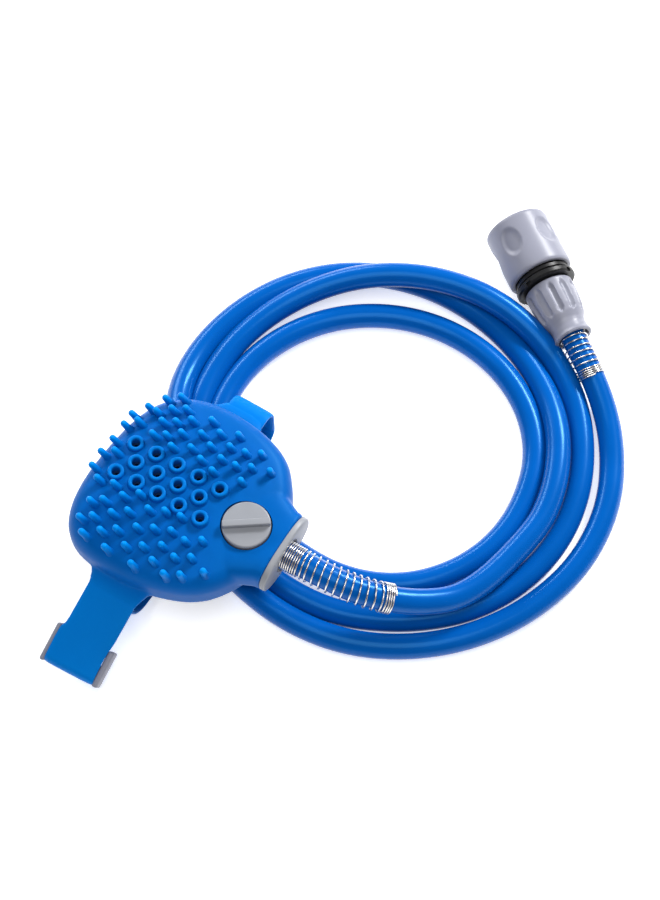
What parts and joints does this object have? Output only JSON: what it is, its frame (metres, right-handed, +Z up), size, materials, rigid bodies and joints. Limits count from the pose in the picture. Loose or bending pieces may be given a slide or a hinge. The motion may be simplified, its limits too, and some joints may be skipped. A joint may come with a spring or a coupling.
{
  "type": "handheld bath sprayer",
  "caption": "Palm-held bath sprayer: soft nubbed scrubber face with jets, hand strap, water knob, and a coiled hose with a push-on tap connector.",
  "frame": {"origin": "on the floor, under the middle of the head with its strap and buckle", "axes": "+Z up, +X along the hose where it leaves the head, +Y from the buckle to the strap's loop"},
  "size_m": [0.2372, 0.3466, 0.0596],
  "materials": {
    "blue_silicone": "satin moulded silicone",
    "blue_hose": "glossy soft vinyl",
    "grey_plastic": "fine satin moulded",
    "pale_grey_plastic": "fine satin moulded",
    "black_plastic": "satin moulded",
    "inner_plastic": "moulded",
    "seal_rubber": "matte",
    "spring_steel": "bright drawn wire"
  },
  "bodies": {
    "sprayer": {"scrubber_face": "blue_silicone", "hand_strap": "blue_silicone", "strap_tongue": "blue_silicone", "strap_buckle": "grey_plastic", "nozzle_plate": "inner_plastic", "chamber_back": "inner_plastic", "chamber_gasket": "seal_rubber", "chamber_screws": "spring_steel", "valve_housing": "inner_plastic", "valve_cap": "inner_plastic", "valve_seats": "seal_rubber", "stem_seal": "seal_rubber", "neck_flange": "pale_grey_plastic", "hose_barb": "black_plastic", "hose_lead": "blue_hose", "hose_tail": "blue_hose", "hose_coil": "blue_hose", "hose_spring_head": "spring_steel", "hose_spring_tap": "spring_steel", "connector_core": "black_plastic", "tap_seal": "seal_rubber", "collar_spring": "spring_steel", "hose_nut": "grey_plastic", "hose_collet": "black_plastic"},
    "water_knob": {"knob": "pale_grey_plastic", "valve_spool": "inner_plastic"},
    "tap_collar": {"release_collar": "grey_plastic"},
    "claw_1": {"lock_claw_1": "black_plastic"},
    "claw_2": {"lock_claw_2": "black_plastic"},
    "claw_3": {"lock_claw_3": "black_plastic"}
  },
  "joints": [
    {"name": "knob_turn", "type": "hinge", "parent": "sprayer", "child": "water_knob", "pos_m": [0.026, 0.0166, 0.045], "axis": [0, 0, 1], "range_deg": [-35, 55]},
    {"name": "collar_slide", "type": "slide", "parent": "sprayer", "child": "tap_collar", "axis": [0.809, -0.5878, 0], "range_m": [0, 0.0035], "stiffness_N_per_m": 400, "springref_m": -0.02, "deforming": ["collar_spring"]},
    {"name": "claw_1_slide", "type": "slide", "parent": "sprayer", "child": "claw_1", "axis": [0, 0, 1], "range_m": [0, 0.0007]},
    {"name": "claw_2_slide", "type": "slide", "parent": "sprayer", "child": "claw_2", "axis": [-0.509, -0.7006, -0.5], "range_m": [0, 0.0007]},
    {"name": "claw_3_slide", "type": "slide", "parent": "sprayer", "child": "claw_3", "axis": [0.509, 0.7006, -0.5], "range_m": [0, 0.0007]}
  ],
  "couplings": [
    {"joint": "claw_1_slide", "follows": "collar_slide", "ratio": 0.2},
    {"joint": "claw_2_slide", "follows": "collar_slide", "ratio": 0.2},
    {"joint": "claw_3_slide", "follows": "collar_slide", "ratio": 0.2}
  ]
}
